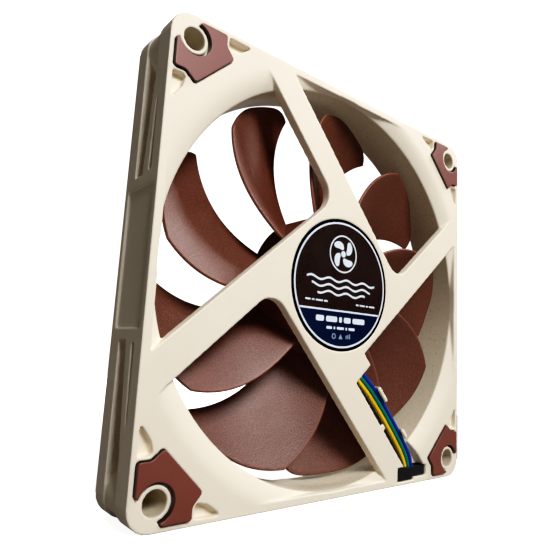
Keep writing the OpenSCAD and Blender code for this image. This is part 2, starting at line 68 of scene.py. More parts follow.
slot_of_node = {part["node"]: part["material_slot"] for part in frame["record"]["subparts"]}
body_of_node = {
    node: body
    for body, names in frame["record"]["behaviour"]["bodies"].items()
    for node in names
}

# ---------------------------------------------------------------- shader nodes

# Walls that the frame's material picks out and darkens: the duct between its flares, partly by its etched
# grain and partly as painted shade, and the screw holes, darker still as painted shade
DUCT_R = 44.5
DUCT_WALL_HALF = 5.45
DUCT_BAND = 0.3
HOLE_SPACING = 82.5
HOLE_R = 2.15
HOLE_BAND = 0.12


class Shader:
    """A node tree under construction, with a Principled BSDF at its end."""

    def __init__(self, name):
        self.material = bpy.data.materials.new(name)
        self.material.use_nodes = True
        self.tree = self.material.node_tree
        self.bsdf = self.tree.nodes["Principled BSDF"]
        coords = self.add("ShaderNodeTexCoord")
        self.mm = self.vector("MULTIPLY", coords.outputs["Object"], [1 / MM] * 3)["Vector"]

    def add(self, kind):
        return self.tree.nodes.new(kind)

    def link(self, a, b):
        self.tree.links.new(a, b)

    def set(self, **values):
        for name, value in values.items():
            self.bsdf.inputs[name.replace("_", " ")].default_value = value

    def noise(self, per_mm, detail, roughness=0.55, vector=None):
        """Noise between 0 and 1 with features about 1 / per_mm millimetres wide."""
        n = self.add("ShaderNodeTexNoise")
        n.inputs["Scale"].default_value = per_mm
        n.inputs["Detail"].default_value = detail
        n.inputs["Roughness"].default_value = roughness
        self.link(vector or self.mm, n.inputs["Vector"])
        return n.outputs["Fac"]

    def math(self, operation, a, b=None):
        m = self.add("ShaderNodeMath")
        m.operation = operation
        for socket, value in zip(m.inputs, (a, b)):
            if value is None:
                continue
            if isinstance(value, (int, float)):
                socket.default_value = value
            else:
                self.link(value, socket)
        return m.outputs[0]

    def vector(self, operation, a, b=(0, 0, 0)):
        """Outputs of a vector node such as MULTIPLY, ABSOLUTE or LENGTH."""
        v = self.add("ShaderNodeVectorMath")
        v.operation = operation
        v.inputs[1].default_value = b
        self.link(a, v.inputs[0])
        return v.outputs

    def remap(self, value, low, high, to_low=0.0, to_high=1.0):
        r = self.add("ShaderNodeMapRange")
        r.inputs["From Min"].default_value = low
        r.inputs["From Max"].default_value = high
        r.inputs["To Min"].default_value = to_low
        r.inputs["To Max"].default_value = to_high
        self.link(value, r.inputs["Value"])
        return r.outputs["Result"]

    def mix(self, factor, a, b):
        """A colour between a and b, each a colour or a socket."""
        m = self.add("ShaderNodeMix")
        m.data_type = "RGBA"
        self.link(factor, m.inputs["Factor"])
        for socket, value in ((m.inputs[6], a), (m.inputs[7], b)):
            if isinstance(value, tuple):
                socket.default_value = (*value, 1)
            else:
                self.link(value, socket)
        return m.outputs[2]

    def bump(self, height, strength, distance_mm, normal=None):
        b = self.add("ShaderNodeBump")
        b.inputs["Strength"].default_value = strength
        b.inputs["Distance"].default_value = distance_mm * MM
        self.link(height, b.inputs["Height"])
        if normal is not None:
            self.link(normal, b.inputs["Normal"])
        return b.outputs["Normal"]

    def soft_edges(self, radius_mm):
        b = self.add("ShaderNodeBevel")
        b.samples = 6
        b.inputs["Radius"].default_value = radius_mm * MM
        return b.outputs["Normal"]

    def geometry(self, output):
        return self.add("ShaderNodeNewGeometry").outputs[output]

    def along_axis(self, vector):
        """Size of the part of a vector that lies along the rotor axis."""
        parts = self.add("ShaderNodeSeparateXYZ")
        self.link(vector, parts.inputs[0])
        return self.math("ABSOLUTE", parts.outputs["Y"])

    def across_axis(self, vector):
        """Size of the part of a vector that lies across the rotor axis."""
        flat = self.vector("MULTIPLY", vector, (1, 0, 1))["Vector"]
        return self.vector("LENGTH", flat)["Value"]

    def edge_mask(self):
        """1 on convex edges of a mesh, 0 elsewhere."""
        return self.remap(self.geometry("Pointiness"), 0.52, 0.6)

    def flank_shade_mask(self):
        """1 on walls along the rotor axis, 0 on faces across it: the walls that painted shade darkens."""
        return self.remap(self.along_axis(self.geometry("Normal")), 0.75, 0.3)

    def duct_wall_mask(self):
        """1 on the cylindrical wall of the duct between its flares, 0 elsewhere."""
        radius = self.across_axis(self.mm)
        near = self.math("LESS_THAN", radius, DUCT_R + DUCT_BAND)
        far = self.math("GREATER_THAN", radius, DUCT_R - DUCT_BAND)
        deep = self.math("LESS_THAN", self.along_axis(self.mm), DUCT_WALL_HALF)
        return self.math("MULTIPLY", self.math("MULTIPLY", near, far), deep)

    def screw_hole_mask(self):
        """1 on the walls of the four screw holes, 0 elsewhere."""
        corner = self.vector("ABSOLUTE", self.mm)["Vector"]
        offset = self.vector("SUBTRACT", corner, (HOLE_SPACING / 2, 0, HOLE_SPACING / 2))["Vector"]
        return self.math("LESS_THAN", self.across_axis(offset), HOLE_R + HOLE_BAND)

    def colour(self, socket):
        self.link(socket, self.bsdf.inputs["Base Color"])

    def roughness(self, socket):
        self.link(socket, self.bsdf.inputs["Roughness"])

    def normal(self, socket):
        self.link(socket, self.bsdf.inputs["Normal"])


# ---------------------------------------------------------------- materials

BEIGE = (0.84, 0.745, 0.595)
# Darker beige of the duct wall: its etched grain and painted shade
ETCHED_SHADED_BEIGE = (0.71, 0.61, 0.45)
BROWN = (0.148, 0.054, 0.032)
PAD_BROWN = (0.2, 0.056, 0.034)

# Features of a moulded surface: blotches and pits per millimetre, and sparkle against grain
BLOTCHES_PER_MM = 0.12
PITS_PER_MM = 1.7
SPARKLE_RATIO = 2.7

# Tones against the colour that they belong to; the edge and lip tones are painted highlights, the flank and
# hole tones painted shade
EDGE_HIGHLIGHT_TONE = 1.9
BRIGHT_SPECK_TONE = 1.9
DARK_SPECK_TONE = 0.45
LIP_HIGHLIGHT_TONE = 2.2
FLANK_SHADE_TONE = 0.1
PIT_TONE = 0.74
HOLE_SHADE_TONE = 0.83

# Tool lines on metal: per millimetre across them and along them
LINES_PER_MM = 14
LINE_DRIFT_PER_MM = 0.4

finishes = {}


def tint(colour, factor):
    return tuple(min(1.0, c * factor) for c in colour)


def moulded(name, colour, rough, grain_per_mm, grain_mm, mottle, soft=0.0, sheen=0.0,
            edge_highlight=0.0, gloss=0.5, lip=0.0, speckle=0.0, warmth=None, etched_and_shaded=None, flank_shade=0.0):
    """Injection-moulded plastic or rubber: fine etched grain, faint mottling, convex edges lightened as a
    painted highlight.

    The trailing lip's lighter tone is a painted highlight on the stretches that a mesh marks
    with the matching attribute; warmth colours the highlights; the duct's wall takes the
    colour of its coarser grain, darkened partly as painted shade; the walls that stand square
    to the flanges are darkened as painted shade.
    """
    s = Shader(name)
    large = s.noise(BLOTCHES_PER_MM, 4)
    fine = s.noise(grain_per_mm, 2.5, 0.6)
    sparkle = s.noise(grain_per_mm * SPARKLE_RATIO, 1.5, 0.5)
    shade = s.mix(s.remap(large, 0.3, 0.7), tint(colour, 1 - mottle), tint(colour, 1 + mottle))
    shade = s.mix(s.remap(fine, 0.35, 0.65, 0, 0.5), shade, tint(colour, 1 - 1.6 * mottle))
    # Convex edges lightened: a painted highlight
    if edge_highlight:
        shade = s.mix(s.math("MULTIPLY", s.edge_mask(), edge_highlight), shade, tint(colour, EDGE_HIGHLIGHT_TONE))
    if speckle:
        shade = s.mix(s.remap(sparkle, 0.5, 0.66, 0, speckle), shade, tint(colour, BRIGHT_SPECK_TONE))
        shade = s.mix(s.remap(sparkle, 0.5, 0.34, 0, speckle), shade, tint(colour, DARK_SPECK_TONE))
    # Marked trailing lips lightened: a painted highlight
    if lip:
        marked = s.add("ShaderNodeAttribute")
        marked.attribute_name = "lip"
        shade = s.mix(s.math("MULTIPLY", marked.outputs["Fac"], lip), shade, tint(colour, LIP_HIGHLIGHT_TONE))
    # Duct wall darker, partly etched grain and partly painted shade; screw-hole walls darker still as
    # painted shade
    if etched_and_shaded:
        pits = s.remap(s.noise(PITS_PER_MM, 2.5, 0.6), 0.3, 0.42)
        shade = s.mix(s.duct_wall_mask(), shade, s.mix(pits, tint(etched_and_shaded, PIT_TONE), etched_and_shaded))
        shade = s.mix(s.screw_hole_mask(), shade, tint(etched_and_shaded, HOLE_SHADE_TONE))
    # Walls square to the flanges darkened: painted shade, as in the gap round each pad
    if flank_shade:
        shade = s.mix(s.math("MULTIPLY", s.flank_shade_mask(), flank_shade), shade, tint(colour, FLANK_SHADE_TONE))
    s.colour(shade)
    s.roughness(s.remap(s.math("ADD", fine, large), 0.7, 1.3, rough - 0.06, rough + 0.08))
    normal = s.soft_edges(soft) if soft else None
    grain = s.math("ADD", fine, s.math("MULTIPLY", sparkle, 0.5))
    s.normal(s.bump(grain, 0.55, grain_mm, normal))
    s.set(Specular_IOR_Level=gloss)
    if sheen:
        s.set(Sheen_Weight=sheen, Sheen_Roughness=0.4)
    if warmth:
        s.set(Specular_Tint=(*warmth, 1))
    finishes[name] = s.material


def metal(name, colour, rough, across="y"):
    """Turned or drawn metal with fine tool lines, one after another along an axis, and stains."""
    s = Shader(name)
    squeeze = [LINES_PER_MM if axis == across else LINE_DRIFT_PER_MM for axis in "xyz"]
    lines = s.noise(1.0, 3, 0.6, s.vector("MULTIPLY", s.mm, squeeze)["Vector"])
    stain = s.noise(0.5, 4)
    s.colour(s.mix(s.remap(stain, 0.35, 0.7), tint(colour, 0.82), tint(colour, 1.08)))
    s.roughness(s.remap(lines, 0.3, 0.7, rough - 0.08, rough + 0.12))
    s.normal(s.bump(lines, 0.35, 0.02, s.soft_edges(0.06)))
    s.set(Metallic=1.0)
    finishes[name] = s.material


# The frame's duct and screw-hole walls get painted shade
moulded("frame_plastic", BEIGE, rough=0.56, grain_per_mm=6, grain_mm=0.012, mottle=0.012,
        soft=0.3, gloss=0.35, etched_and_shaded=ETCHED_SHADED_BEIGE)
# The pads' side walls get painted shade
moulded("pad_rubber", PAD_BROWN, rough=0.46, grain_per_mm=5, grain_mm=0.02, mottle=0.06,
        soft=0.15, sheen=0.12, gloss=0.9, warmth=(1, 0.9, 0.88), flank_shade=0.9)
# The rotor's lighter edges and trailing lips are painted highlights
moulded("rotor_plastic", BROWN, rough=0.44, grain_per_mm=2.9, grain_mm=0.08, mottle=0.1,
        edge_highlight=0.25, gloss=0.66, lip=0.35, speckle=0.85, warmth=(1, 0.9, 0.86))
moulded("label_print", (0.004, 0.003, 0.003), rough=0.22, grain_per_mm=3, grain_mm=0.002, mottle=0.1)
moulded("label_field", (0.03, 0.0165, 0.013), rough=0.3, grain_per_mm=4, grain_mm=0.003, mottle=0.1)
moulded("label_navy", (0.003, 0.012, 0.045), rough=0.3, grain_per_mm=4, grain_mm=0.003, mottle=0.1)
moulded("label_silver", (0.78, 0.82, 0.86), rough=0.35, grain_per_mm=5, grain_mm=0.003, mottle=0.03)
moulded("label_grey", (0.3, 0.36, 0.46), rough=0.35, grain_per_mm=5, grain_mm=0.003, mottle=0.03)
moulded("rotor_label_print", (0.12, 0.04, 0.025), rough=0.3, grain_per_mm=3, grain_mm=0.003, mottle=0.05)
moulded("sticker_ink", (0.62, 0.5, 0.36), rough=0.35, grain_per_mm=5, grain_mm=0.003, mottle=0.03)
metal("brass", (0.78, 0.58, 0.28), rough=0.3)
metal("bronze", (0.5, 0.31, 0.17), rough=0.42)
metal("steel", (0.6, 0.61, 0.63), rough=0.2)
metal("yoke_steel", (0.42, 0.43, 0.45), rough=0.35)
moulded("magnet", (0.03, 0.03, 0.034), rough=0.55, grain_per_mm=4, grain_mm=0.02, mottle=0.2, soft=0.1)
metal("lamination", (0.45, 0.46, 0.48), rough=0.4)
moulded("nylon", (0.8, 0.79, 0.74), rough=0.45, grain_per_mm=5, grain_mm=0.01, mottle=0.03, soft=0.1)
metal("copper", (0.72, 0.3, 0.13), rough=0.3)
moulded("board", (0.01, 0.12, 0.05), rough=0.3, grain_per_mm=4, grain_mm=0.01, mottle=0.15)
moulded("chip", (0.02, 0.02, 0.021), rough=0.5, grain_per_mm=6, grain_mm=0.01, mottle=0.1, soft=0.05)
moulded("ceramic", (0.45, 0.3, 0.17), rough=0.4, grain_per_mm=6, grain_mm=0.01, mottle=0.1, soft=0.05)
metal("tin", (0.7, 0.7, 0.69), rough=0.3)
moulded("wire_black", (0.008, 0.008, 0.009), rough=0.35, grain_per_mm=3, grain_mm=0.01, mottle=0.15)
moulded("wire_yellow", (0.9, 0.56, 0.02), rough=0.35, grain_per_mm=3, grain_mm=0.01, mottle=0.05)
moulded("wire_green", (0.0, 0.21, 0.2), rough=0.3, grain_per_mm=3, grain_mm=0.01, mottle=0.08)
moulded("wire_blue", (0.008, 0.05, 0.34), rough=0.3, grain_per_mm=3, grain_mm=0.01, mottle=0.08)
moulded("black_plastic", (0.013, 0.013, 0.014), rough=0.42, grain_per_mm=4, grain_mm=0.012, mottle=0.15,
        soft=0.15)
moulded("braid", (0.014, 0.014, 0.015), rough=0.6, grain_per_mm=8, grain_mm=0.02, mottle=0.2)
metal("contact", (0.8, 0.62, 0.3), rough=0.28, across="z")


def paint_cad_nodes():
    for node, slot in slot_of_node.items():
        mesh = nodes[node].data
        mesh.materials.clear()
        mesh.materials.append(finishes[slot])


paint_cad_nodes()

# ---------------------------------------------------------------- mesh helpers

# Corners of a CAD mesh nearer than this are one corner
WELD_GAP = 0.002
# Share of a moulded copy's shading that its large faces take, in percent
LARGE_FACE_WEIGHT = 90


def upright(points):
    """Points drawn flat (x right, y up, z towards the strut side), stood up in the row frame."""
    p = np.asarray(points, float)
    return np.stack((p[:, 0], -p[:, 2], p[:, 1]), axis=1) * MM


def closed_mesh(name, points, faces):
    """A mesh from flat-frame points, with its faces turned outwards."""
    mesh = bpy.data.meshes.new(name)
    mesh.from_pydata(upright(points).tolist(), [], [tuple(f) for f in faces])
    mesh.validate()
    bm = bmesh.new()
    bm.from_mesh(mesh)
    bmesh.ops.recalc_face_normals(bm, faces=bm.faces)
    bm.to_mesh(mesh)
    bm.free()
    return mesh


def new_object(name, mesh):
    made = bpy.data.objects.new(name, mesh)
    bpy.context.scene.collection.objects.link(made)
    return made


def new_piece(name, points, faces, finish, body, smooth_angle=35, slot=None):
    """A piece from flat-frame points, riding on a body."""
    mesh = closed_mesh(name, points, faces)
    mesh.shade_smooth()
    mesh.set_sharp_from_angle(angle=math.radians(smooth_angle))
    mesh.materials.append(finishes[finish])
    piece = new_object(name, mesh)
    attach(piece, body)
    return piece


def grid_faces(rows, cols, wrap_rows=False, wrap_cols=False):
    """Quads over a grid of points stored row by row."""
    faces = []
    for i in range(rows if wrap_rows else rows - 1):
        for j in range(cols if wrap_cols else cols - 1):
            i2, j2 = (i + 1) % rows, (j + 1) % cols
            faces.append([i * cols + j, i * cols + j2, i2 * cols + j2, i2 * cols + j])
    return faces


def end_caps(rings, sides):
    """Faces that close the first and the last of the rings of a tube."""
    last = (rings - 1) * sides
    return [list(range(sides))[::-1], list(range(last, last + sides))]


def rounded_profile(corners, steps=5):
    """Closed outline through (a, b, radius) corners, each corner an arc of its radius."""
    points = []
    for i, (x, y, r) in enumerate(corners):
        here = Vector((x, y))
        if r <= 0:
            points.append(here)
            continue
        back = (Vector(corners[i - 1][:2]) - here).normalized()
        on = (Vector(corners[(i + 1) % len(corners)][:2]) - here).normalized()
        half = math.acos(max(-1, min(1, back.dot(on)))) / 2
        centre = here + (back + on).normalized() * r / math.sin(half)
        start = here + back * r / math.tan(half) - centre
        end = here + on * r / math.tan(half) - centre
        turn = math.copysign(math.pi - 2 * half, start.cross(end))
        for k in range(steps + 1):
            t = turn * k / steps
            points.append(centre + Vector((start.x * math.cos(t) - start.y * math.sin(t),
                                           start.x * math.sin(t) + start.y * math.cos(t))))
    return [tuple(p) for p in points]


def rounded_box_outline(width, height, radius):
    return rounded_profile([(-width / 2, -height / 2, radius), (width / 2, -height / 2, radius),
                            (width / 2, height / 2, radius), (-width / 2, height / 2, radius)])


def arc(radius, start=0.0, stop=360.0, steps=144, centre=(0, 0)):
    angles = [math.radians(start + (stop - start) * k / steps) for k in range(steps + 1)]
    return [(centre[0] + radius * math.cos(a), centre[1] + radius * math.sin(a)) for a in angles]


def turned(profile, steps=180):
    """Points and faces of a closed (r, z) profile turned about the rotor axis."""
    points = []
    for k in range(steps):
        a = 2 * math.pi * k / steps
        points += [(r * math.cos(a), r * math.sin(a), z) for r, z in profile]
    return points, grid_faces(steps, len(profile), wrap_rows=True, wrap_cols=True)


def extrude(outline, low, high):
    """A flat outline between two heights."""
    n = len(outline)
    points = [(x, y, low) for x, y in outline] + [(x, y, high) for x, y in outline]
    faces = [list(range(n))[::-1], list(range(n, 2 * n))]
    faces += [[i, (i + 1) % n, n + (i + 1) % n, n + i] for i in range(n)]
    return points, faces


def box(low, high):
    """A box between two opposite corners."""
    outline = [(low[0], low[1]), (high[0], low[1]), (high[0], high[1]), (low[0], high[1])]
    return extrude(outline, low[2], high[2])


def ribbon(left, right, low, high):
    """A strip between two equally long edges, with thickness; closed when its ends meet."""
    closed = np.allclose(left[0], left[-1])
    rows = len(left) - 1 if closed else len(left)
    points = []
    for a, b in zip(left[:rows], right[:rows]):
        points += [(*a, low), (*a, high), (*b, high), (*b, low)]
    faces = grid_faces(rows, 4, wrap_rows=closed, wrap_cols=True)
    if not closed:
        faces += end_caps(rows, 4)
    return points, faces


def join(parts):
    points, faces = [], []
    for part_points, part_faces in parts:
        offset = len(points)
        points += [tuple(p) for p in part_points]
        faces += [[offset + i for i in f] for f in part_faces]
    return points, faces


def moulded_copy(node, voxel_mm, rounds, keep, gap_mm=0.0, proud_mm=0.0, add=(), cut=()):
    """A copy of a CAD node with every edge rounded as a mould leaves it, in the node's place.

    The solid is remeshed finely and relaxed, which rounds its edges by about two voxels;
    then the flat stretches give back their surplus triangles. add and cut are boxes that
    join the solid or leave it first; gap_mm draws its outline in from its seat, and
    proud_mm thickens it away from the mid-depth of the frame.
    """
    piece = new_object(node + "_moulded", nodes[node].data.copy())
    weld = piece.modifiers.new("weld", "WELD")
    weld.merge_threshold = WELD_GAP * MM
    helpers = []
    for boxes, operation in ((add, "UNION"), (cut, "DIFFERENCE")):
        if boxes:
            helper = new_object("helper", closed_mesh("helper", *join([box(*ends) for ends in boxes])))
            helpers.append(helper)
            carve = piece.modifiers.new("carve", "BOOLEAN")
            carve.operation = operation
            carve.object = helper
            carve.solver = "EXACT"
    remesh = piece.modifiers.new("remesh", "REMESH")
    remesh.mode = "VOXEL"
    remesh.voxel_size = voxel_mm * MM
    relax = piece.modifiers.new("relax", "SMOOTH")
    relax.factor = 0.5
    relax.iterations = rounds
    thin = piece.modifiers.new("thin", "DECIMATE")
    thin.ratio = keep
    mesh = bpy.data.meshes.new_from_object(piece.evaluated_get(bpy.context.evaluated_depsgraph_get()))
    piece.modifiers.clear()
    piece.data = mesh
    for helper in helpers:
        bpy.data.objects.remove(helper)
    if gap_mm:
        low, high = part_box(node)
        size = high - low
        fixed = (low + high) / 2
        fixed.y = min(low.y, high.y, key=abs)
        scale = (1 - 2 * gap_mm * MM / size.x, 1 + proud_mm * MM / size.y, 1 - 2 * gap_mm * MM / size.z, 1)
        mesh.transform(Matrix.Translation(fixed) @ Matrix.Diagonal(scale) @ Matrix.Translation(-fixed))
    mesh.shade_smooth()
    weighted = piece.modifiers.new("weighted", "WEIGHTED_NORMAL")
    weighted.weight = LARGE_FACE_WEIGHT
    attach(piece, body_of_node[node])
    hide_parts(node)


# ---------------------------------------------------------------- impeller

# The hub's outer and inner radius, its back, the floor inside it and its open end
HUB_R = 16.3
HUB_WALL_R = 15.3
HUB_BACK = -6.4
HUB_FLOOR = -5.4
HUB_FRONT = 4.3
AXIS_R = 0.01

# The flat back of the hub, its groove round the sticker, and the boss that holds the bushing
BACK_FLAT_R = 12.6
GROOVE_IN_R = 13.35
GROOVE_OUT_R = 13.75
GROOVE_DEPTH = 0.2
BOSS_R = 4.2
BOSS_TOP = -4.3
BUSHING_R = 3.0
BUSHING_SEAT = -5.9

# Nine blades; the first one's leading edge leaves the hub at this angle from +X
BLADES = 9
BLADE_START = math.radians(159.8)
BLADE_T = 1.1
TIP_R = 43.4
ROOT_SINK = 0.6
CAMBER = 0.55

# Blade edges against the span, from the constant term up: angles in degrees, then heights
LEAD_ANGLE = (0, -3, -17)
TRAIL_ANGLE = (33, -9, -3, -9)
LEAD_Z = (-5, -1.8, 1.4)
TRAIL_Z = (3.9, 0.3, -1.7)

# How far the tip falls back at its two corners, and over what share of the chord
TIP_DROP_LEAD = 2.6
TIP_DROP_TRAIL = 2.1
TIP_CORNER = 0.35
TIP_CURVE = 2.2

# Thickness in mid-chord and at the edges against the CAD's, and the rounding of the edges
MID_THICKNESS = 0.9
EDGE_THICKNESS = 0.62
EDGE_ROUND = 0.2

# The trailing lip that catches the light, and how far past its width it fades out
LIP_WIDTH = 0.45
LIP_FADE = 1.6

# Fineness of a blade: along the span, along the chord and round the tip
BLADE_ROWS = 44
BLADE_COLS = 40
TIP_ROWS = 4
SLOPE_STEP = 1e-3


def polynomial(terms, s):
    return sum(term * s**power for power, term in enumerate(terms))


def blade_mid(s, v):
    """Mid-surface point: s runs 0..1 from hub to tip, v 0..1 from leading to trailing edge."""
    lead = polynomial(LEAD_ANGLE, s)
    a = np.radians(lead + (polynomial(TRAIL_ANGLE, s) - lead) * v)
    r = HUB_R + (TIP_R - HUB_R) * s
    lead_z = polynomial(LEAD_Z, s)
    z = lead_z + (polynomial(TRAIL_Z, s) - lead_z) * v
    z = z - CAMBER * 4 * v * (1 - v) * (0.5 + 0.5 * s)
    return np.stack((r * np.cos(a), r * np.sin(a), z), axis=-1)


def tip_radius(v):
    lead = np.maximum(0, 1 - v / TIP_CORNER) ** TIP_CURVE
    trail = np.maximum(0, 1 - (1 - v) / TIP_CORNER) ** TIP_CURVE
    return TIP_R - TIP_DROP_LEAD * lead - TIP_DROP_TRAIL * trail


def blade_mesh():
    """One blade with rounded edges, as a closed loft of chordwise loops from root to tip.

    Returns its points, its faces and how much each point takes of the painted highlight along the trailing
    edge.
    """
    chord_v = (1 - np.cos(np.linspace(0, np.pi, BLADE_COLS))) / 2
    root_r = HUB_R - ROOT_SINK
    rolls = np.linspace(0, np.pi / 2, TIP_ROWS + 1)[1:]
    spans = [(u, 0.0) for u in np.linspace(0, 1, BLADE_ROWS)] + [(1, roll) for roll in rolls]
    loops = []
    lips = []
    for u, roll in spans:
        rim = EDGE_ROUND * (1 - math.cos(roll))
        grow = EDGE_ROUND * math.sin(roll)
        for side in (1, -1):
            v = chord_v if side > 0 else chord_v[::-1]
            r = root_r + (tip_radius(v) - EDGE_ROUND - root_r) * u + grow
            s = (r - HUB_R) / (TIP_R - HUB_R)
            ds = blade_mid(s + SLOPE_STEP, v) - blade_mid(s - SLOPE_STEP, v)
            dv = blade_mid(s, v + SLOPE_STEP) - blade_mid(s, v - SLOPE_STEP)
            normal = np.cross(ds, dv)
            normal /= np.linalg.norm(normal, axis=1)[:, None]
            chord = np.linalg.norm(dv, axis=1)[:, None] / (2 * SLOPE_STEP)
            taper = EDGE_THICKNESS + (1 - EDGE_THICKNESS) * np.sqrt(np.sin(np.pi * v))
            half = BLADE_T / 2 * MID_THICKNESS * taper - rim
            edge = np.minimum(v, 1 - v)[:, None] * chord
            near = np.clip(edge / EDGE_ROUND, 0, 1)
            fall = EDGE_ROUND * (1 - np.sqrt(1 - (1 - near) ** 2))
            loops.append(blade_mid(s, v) + normal * side * (half[:, None] - fall))
            from_trail = (1 - v) * chord[:, 0]
            lips.append(np.clip(LIP_FADE - from_trail / LIP_WIDTH, 0, 1))
    cols = 2 * BLADE_COLS
    faces = grid_faces(len(spans), cols, wrap_cols=True)
    last = (len(spans) - 1) * cols
    for j in range(BLADE_COLS - 1):
        faces.append([last + j, last + j + 1, last + cols - 2 - j, last + cols - 1 - j])
        faces.append([j, cols - 1 - j, cols - 2 - j, j + 1])
    return np.concatenate(loops), faces, np.concatenate(lips)


def make_impeller():
    groove_floor = HUB_BACK + GROOVE_DEPTH
    hub = turned(rounded_profile([
        (AXIS_R, HUB_BACK, 0), (BACK_FLAT_R, HUB_BACK, 0), (GROOVE_IN_R, HUB_BACK, 0.1),
        (GROOVE_IN_R + 0.1, groove_floor, 0), (GROOVE_IN_R + 0.15, groove_floor, 0),
        (GROOVE_OUT_R, HUB_BACK, 0.15), (HUB_R, HUB_BACK, 0.9), (HUB_R, HUB_FRONT, 0.35),
        (HUB_WALL_R, HUB_FRONT, 0.35), (HUB_WALL_R, HUB_FLOOR, 0), (BOSS_R, HUB_FLOOR, 0),
        (BOSS_R, BOSS_TOP, 0), (BUSHING_R, BOSS_TOP, 0), (BUSHING_R, BUSHING_SEAT, 0),
        (AXIS_R, BUSHING_SEAT, 0),
    ]))
    parts = [hub]
    points, faces, lips = blade_mesh()
    for k in range(BLADES):
        a = BLADE_START + 2 * math.pi * k / BLADES
        c = math.cos(a)
        s = math.sin(a)
        turn = np.array(((c, -s, 0), (s, c, 0), (0, 0, 1)))
        parts.append((points @ turn.T, faces))
    impeller = new_piece("impeller_smooth", *join(parts), "rotor_plastic", "rotor", smooth_angle=40)
    # Weights of the painted highlight along each blade's trailing edge
    marked = impeller.data.attributes.new("lip", "FLOAT", "POINT")
    marked.data.foreach_set("value", np.concatenate([np.zeros(len(hub[0]))] + [lips] * BLADES))
    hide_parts("impeller")


make_impeller()

# ---------------------------------------------------------------- printed label

# Heights of the layers, and the plain fields, ring and divider
LABEL_Z = 6.9
FIELD_Z = LABEL_Z + 0.015
NAVY_Z = FIELD_Z + 0.008
PRINT_Z = LABEL_Z + 0.035
FIELD_R = 14.35
RING_R = 14.05
RING_HALF = 0.21
DIVIDER_Y = -6.05
DIVIDER_HALF = 0.2

# The propeller sign, and the waves below it as heights and lengths
SIGN_CENTRE = (0.0, 7.0)
SIGN_RING = (4.35, 4.0)
SIGN_HUB_R = 0.75
SIGN_PETAL = (1.05, 3.65)
WAVES = ((0.75, 21.5), (-0.75, 18.5), (-2.25, 15.0))
WAVE_LENGTH = 5.4
WAVE_SWING = 0.34
WAVE_HALF = 0.24
WAVE_STEPS = 70

# Rows of bars: widths, gap, height on the label, height of the bars, and left end if not centred
LEFT_ROW = ((1.5, 0.8, 2.1, 1.1), 0.35, -4.2, 0.38, -10.9)
RIGHT_ROW = ((0.9, 1.8, 0.7, 1.9), 0.35, -4.2, 0.38, 4.6)
LARGE_ROW = ((2.4, 3.4, 0.9, 2.2, 4.0), 0.6, -8.0, 1.25)
SMALL_ROW = ((1.7, 0.5, 2.2, 0.5, 2.0), 0.5, -9.9, 0.6)

# Small signs at the bottom: a ring, a triangle and three rising bars
MARK_Y = -11.7
MARK_RING_X = -2.1
MARK_RING = (0.62, 0.38)
MARK_TRIANGLE = [(-0.65, -12.25), (0.65, -12.25), (0, -11.15)]
MARK_BARS = 3
MARK_BARS_X = 1.6
MARK_BARS_PITCH = 0.55
MARK_BAR_WIDTH = 0.3
MARK_BAR_HEIGHT = 0.75
MARK_BAR_GROWTH = 0.18


def inked(outline):
    return extrude(outline, LABEL_Z, PRINT_Z)


def inked_ring(outer, inner, centre=(0, 0), steps=144):
    return ribbon(arc(outer, centre=centre, steps=steps), arc(inner, centre=centre, steps=steps),
                  LABEL_Z, PRINT_Z)


def bar(x0, x1, y, height):
    radius = min(height, x1 - x0) * 0.3
    return inked(rounded_profile([(x0, y - height / 2, radius), (x1, y - height / 2, radius),
                                  (x1, y + height / 2, radius), (x0, y + height / 2, radius)], 3))


def bar_row(widths, gap, y, height, left=None):
    """Bars of the given widths side by side, centred unless a left end is given."""
    x = left if left is not None else -(sum(widths) + gap * (len(widths) - 1)) / 2
    row = []
    for width in widths:
        row.append(bar(x, x + width, y, height))
        x += width + gap
    return row


def petal(centre, turn, inner, outer, low, high):
    """One swept blade of a propeller sign, fullest in its outer half."""
    sweep = 38
    half_angle = 27
    root_share = 0.16
    steps = 14
    left, right = [], []
    for k in range(steps + 1):
        t = k / steps
        r = inner + (outer - inner) * t
        middle = turn + sweep * t
        fullness = math.sin(math.pi * (root_share + (1 - root_share) * t))
        half = half_angle * fullness**0.55 if k < steps else 0.5
        for edge, sign in ((left, -1), (right, 1)):
            a = math.radians(middle + sign * half)
            edge.append((centre[0] + r * math.cos(a), centre[1] + r * math.sin(a)))
    return ribbon(left, right, low, high)


def wave(y, length):
    xs = np.linspace(-length / 2, length / 2, WAVE_STEPS)
    ys = y + WAVE_SWING * np.sin(xs * 2 * math.pi / WAVE_LENGTH)
    return ribbon(list(zip(xs, ys + WAVE_HALF)), list(zip(xs, ys - WAVE_HALF)), LABEL_Z, PRINT_Z)


def label_piece(name, finish, parts):
    new_piece(name, *join(parts), finish, "stator", slot="label_print")


